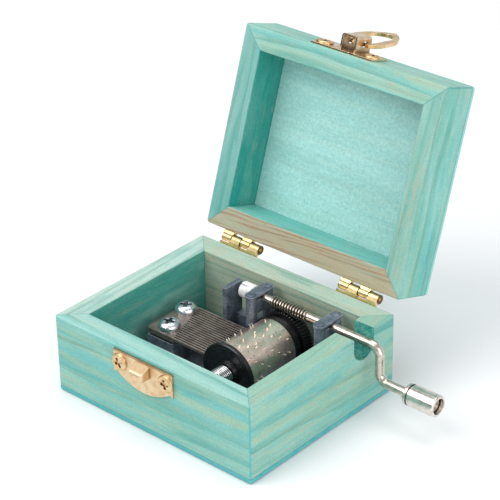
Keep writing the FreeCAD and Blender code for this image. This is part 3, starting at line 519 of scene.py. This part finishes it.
def black_plastic():
    """Moulded black plastic with faint turning marks about the cylinder's axis, and dust."""
    s = Shader("black_plastic")
    here = s.millimetres()
    x, _, z = s.split(here)
    radius = s.vector("LENGTH", s.combine(s.math("SUBTRACT", x, DRUM.x), 0.0,
                                          s.math("SUBTRACT", z, DRUM.z)))
    turned = s.noise(s.combine(radius, 0.0, 0.0), 3.0, 3.0, 0.6)
    skin = s.noise(here, 6.0, 3.0, 0.6)
    dust = s.noise(here, 3.2, 5.0, 0.8)
    colour = s.mix(s.span(skin, 0.3, 0.7), rgb(12, 12, 14), rgb(26, 26, 30))
    colour = s.mix(s.span(dust, 0.68, 0.82, 0.0, 0.25), colour, rgb(110, 110, 114))
    height = s.math("ADD", turned, s.math("MULTIPLY", skin, 0.3))
    normal = s.bump(height, 0.12, 0.05, s.rounded(0.15))
    return s.finish(colour, s.span(skin, 0.3, 0.7, 0.24, 0.34), normal, Specular_IOR_Level=0.55)


def white_nylon():
    """Slightly translucent white nylon of the sleeve."""
    s = Shader("white_nylon")
    here = s.millimetres()
    cloud = s.noise(here, 1.1, 3.0, 0.6)
    skin = s.noise(here, 6.0, 3.0, 0.6)
    colour = s.mix(s.span(cloud, 0.35, 0.7), rgb(238, 238, 236), rgb(218, 220, 220))
    normal = s.bump(skin, 0.2, 0.05, s.rounded(0.15))
    return s.finish(colour, s.span(skin, 0.3, 0.7, 0.4, 0.52), normal, Subsurface_Weight=0.25,
                    Subsurface_Radius=(0.001, 0.001, 0.001), Subsurface_Scale=0.6)


def lead_grey():
    """Dull lead of the comb's tuning weights."""
    s = Shader("lead_grey")
    here = s.millimetres()
    cloud = s.noise(here, 2.0, 4.0, 0.6)
    colour = s.mix(s.span(cloud, 0.3, 0.7), rgb(74, 76, 82), rgb(110, 112, 118))
    roughness = s.span(cloud, 0.3, 0.7, 0.5, 0.7)
    return s.finish(colour, roughness, s.bump(cloud, 0.3, 0.05), Metallic=0.7)


def coat(material, *nodes):
    """Give whole nodes one material."""
    for node in nodes:
        slots = NODES[node].data.materials
        slots.clear()
        slots.append(material)


def coat_notch(node, material):
    """Give the inside faces of the crank's notch a material of their own."""
    obj = NODES[node]
    obj.data.materials.append(material)
    for face in obj.data.polygons:
        spot = obj.matrix_world @ face.center / MM
        across = abs(face.normal.x) < 0.5 and abs(spot.y - NOTCH_Y) < NOTCH_R + 0.1
        if across and BASE_TOP / 2 < spot.z < BASE_TOP - 0.05:
            face.material_index = 1


BOARDS = {
    "base_front_wall": dict(
        along="x", pith=(-60.0, 30.0), tilt=(0.03, 0.02), spacing=3.6, bands=0.55,
        main=rgb(114, 184, 178), second=rgb(146, 186, 166), tan=0.25, pale=0.15, teal=0.22,
        rim=(rgb(166, 210, 204), 0.65), seed=1.0),
    "base_right_wall": dict(
        along="y", pith=(70.0, 34.0), tilt=(0.02, 0.05), spacing=3.4, bands=0.6,
        main=rgb(118, 184, 176), second=rgb(146, 184, 162), tan=0.4, pale=0.2,
        rim=(rgb(142, 180, 160), 0.85), seed=2.3),
    "base_left_wall": dict(
        along="y", pith=(-80.0, 30.0), bands=0.5, teal=0.4,
        inner=(rgb(60, 156, 140), 0.85), rim=(rgb(196, 214, 204), 0.8), seed=3.1),
    "base_back_wall": dict(
        along="x", pith=(40.0, 60.0), bands=0.5, tan=0.6, pale=0.4,
        inner=(rgb(190, 190, 164), 0.85), rim=(rgb(188, 196, 178), 0.8), seed=4.7),
    "base_bottom_panel": dict(
        along="x", pith=(5.0, 50.0), spacing=3.0, teal=0.9, pale=0.0, mitred=False, seed=5.2),
    "lid_front_wall": dict(
        along="x", pith=(-50.0, 60.0), tan=0.45, main=rgb(124, 190, 182),
        second=rgb(156, 192, 172), lid=True, seed=6.4),
    "lid_left_wall": dict(
        along="y", pith=(-70.0, 50.0), tan=0.25, pale=0.15,
        inner=(rgb(0, 144, 134), 0.95), rim=(rgb(120, 172, 168), 0.75), lid=True, seed=7.1),
    "lid_right_wall": dict(
        along="y", pith=(60.0, 44.0), spacing=2.6, tan=0.5,
        rim=(rgb(134, 180, 168), 0.8), lid=True, seed=8.8),
    "lid_back_wall": dict(
        along="x", pith=(70.0, 10.0), tilt=(0.09, 0.03), spacing=1.3, bands=0.4, tan=0.4,
        pale=0.15, brown=0.7, inner=(rgb(116, 196, 190), 0.8), rim=(rgb(184, 160, 128), 0.85),
        lid=True, seed=9.5),
    "lid_top_panel": dict(
        along="x", pith=(0.0, 260.0), spacing=4.0, bands=0.1, main=rgb(192, 238, 234),
        second=rgb(200, 240, 232), tan=0.05, teal=0.05, pale=0.3, lid=True, mitred=False,
        seed=10.9),
}


def paint_wood():
    for node, look in BOARDS.items():
        coat(stained_wood(node + "_wood", **look), node)
    coat_notch("base_right_wall", notch_wood())


def paint_hardware():
    coat(latch_metal("catch_metal", rgb(230, 204, 168), rgb(216, 184, 144), 0.42, hem_shade=0.6),
         "catch_plate")
    coat(latch_metal("hasp_metal", rgb(226, 204, 172), rgb(200, 170, 130), 0.24, shade_reach=4.0),
         "hasp_plate")
    coat(latch_metal("latch_screw_metal", rgb(226, 198, 156), rgb(208, 172, 122), 0.38, 0.1),
         "catch_plate_screws", "hasp_plate_screws")
    coat(latch_metal("loop_metal", rgb(236, 204, 158), rgb(208, 168, 116), 0.24), "hasp_loop")
    coat(hinge_metal(), "hinge_left_base_leaf", "hinge_right_base_leaf", "hinge_left_lid_leaf",
         "hinge_right_lid_leaf", "hinge_left_pin", "hinge_right_pin", "hinge_base_screws",
         "hinge_lid_screws")
    coat(zinc_casting(), "movement_bedplate", "shaft_bridge_left", "shaft_bridge_right")
    coat(comb_steel(), "comb")
    coat(painted_shade_steel(), "comb_spacer")
    coat(screw_plate(), "comb_screws", "movement_mount_screws")
    coat(lead_grey(), "comb_tuning_weights")
    coat(nickel("rod_nickel", "x", (214, 204, 192), 0.26), "crank_shaft")
    coat(nickel("knob_nickel", "x", (232, 224, 216), 0.2, 1.6), "crank_knob")
    coat(drum_metal(), "cylinder_drum")
    coat(nickel("pin_steel", "z", (250, 244, 232), 0.2), "cylinder_pins")
    coat(nickel("arbor_nickel", "y", (222, 222, 222), 0.2), "cylinder_arbor", "thrust_spring")
    coat(black_plastic(), "cylinder_front_cap", "cylinder_rear_flange", "drive_gear")
    coat(white_nylon(), "shaft_sleeve")


# Surroundings ---------------------------------------------------------------------

def staged_strip(name, edge, material, smooth=False):
    """A strip of faces between pairs of points, standing round the object."""
    verts = [spot for pair in edge for spot in pair]
    faces = [(2 * i, 2 * i + 1, 2 * i + 3, 2 * i + 2) for i in range(len(edge) - 1)]
    mesh = bpy.data.meshes.new(name)
    mesh.from_pydata(verts, [], faces)
    mesh.polygons.foreach_set("use_smooth", [smooth] * len(faces))
    mesh.materials.append(material)
    strip = bpy.data.objects.new(name, mesh)
    bpy.context.scene.collection.objects.link(strip)


def backdrop():
    """Pale floor that curves up into a wall behind."""
    s = Shader("paper")
    tone = s.noise(s.millimetres(), 0.004, 2.0)
    paper = s.finish(s.mix(tone, (0.86, 0.865, 0.875, 1), (0.9, 0.905, 0.91, 1)), 0.9,
                     Specular_IOR_Level=0.1)
    bend = FLOOR_BACK - FLOOR_BEND
    line = [(FLOOR_FRONT, 0.0)]
    line += [(FLOOR_BEND + bend * math.sin(a), bend - bend * math.cos(a))
             for a in (math.radians(d) for d in range(0, 91, 6))]
    line.append((FLOOR_BACK, WALL_HIGH))
    edge = [[(side * FLOOR_HALF, y, z - FLOOR_DROP) for side in (-1, 1)] for y, z in line]
    staged_strip("backdrop", edge, paper, smooth=True)


def dark_card():
    """Charcoal screen standing far to the left, which gives the metal its dark bands."""
    s = Shader("charcoal_cloth")
    weave = s.noise(s.millimetres(), 0.05, 3.0)
    cloth = s.finish(s.mix(weave, (0.015, 0.015, 0.017, 1), (0.03, 0.03, 0.032, 1)), 0.9)
    edge = [[(CARD_FAR * math.cos(a), CARD_FAR * math.sin(a), z) for z in (CARD_HIGH, 0.0)]
            for a in (math.radians(d) for d in CARD_TURNS)]
    staged_strip("dark_card", edge, cloth)


def area_light(name, spot, size, power, colour=(1, 1, 1)):
    """A soft box aimed at the object, with its size in metres and its power in watts."""
    lamp = bpy.data.lights.new(name, "AREA")
    lamp.shape = "RECTANGLE"
    lamp.size, lamp.size_y = size
    lamp.energy = power
    lamp.color = colour
    obj = bpy.data.objects.new(name, lamp)
    obj.location = spot
    obj.rotation_euler = (Vector(AIM) - Vector(spot)).to_track_quat("-Z", "Y").to_euler()
    bpy.context.scene.collection.objects.link(obj)


def light_scene():
    area_light("key", (-0.32, -0.55, 0.72), (0.75, 0.75), 6.0, (1.0, 0.985, 0.97))
    area_light("fill_right", (0.85, -0.25, 0.35), (1.0, 0.8), 5.2, (0.98, 0.985, 1.0))
    area_light("top", (-0.05, 0.15, 0.95), (0.6, 0.6), 2.6)
    world = bpy.data.worlds.new("studio")
    world.use_nodes = True
    colour, strength = world.node_tree.nodes["Background"].inputs[:2]
    colour.default_value = (0.95, 0.97, 1.0, 1.0)
    strength.default_value = 0.5
    bpy.context.scene.world = world
    bpy.context.scene.view_settings.view_transform = "Standard"


def camera():
    """Stands to the right and above, and looks down at the open box."""
    azimuth, elevation, roll = (math.radians(a) for a in CAMERA_ANGLES)
    back = Vector((math.sin(azimuth) * math.cos(elevation),
                   -math.cos(azimuth) * math.cos(elevation), math.sin(elevation)))
    level = Vector((0, 0, 1)).cross(back).normalized()
    upright = back.cross(level)
    right = level * math.cos(roll) + upright * math.sin(roll)
    up = upright * math.cos(roll) - level * math.sin(roll)
    spot = Vector(CAMERA_PIVOT) + right * CAMERA_RIGHT + up * CAMERA_UP + back * CAMERA_BACK
    lens = bpy.data.cameras.new("camera")
    lens.sensor_width = SENSOR_MM
    lens.lens = LENS_MM
    lens.clip_start = 0.01
    eye = bpy.data.objects.new("camera", lens)
    eye.matrix_world = Matrix((
        (right.x, up.x, back.x, spot.x), (right.y, up.y, back.y, spot.y),
        (right.z, up.z, back.z, spot.z), (0, 0, 0, 1)))
    bpy.context.scene.collection.objects.link(eye)
    bpy.context.scene.camera = eye


paint_wood()
paint_hardware()
backdrop()
dark_card()
light_scene()
camera()
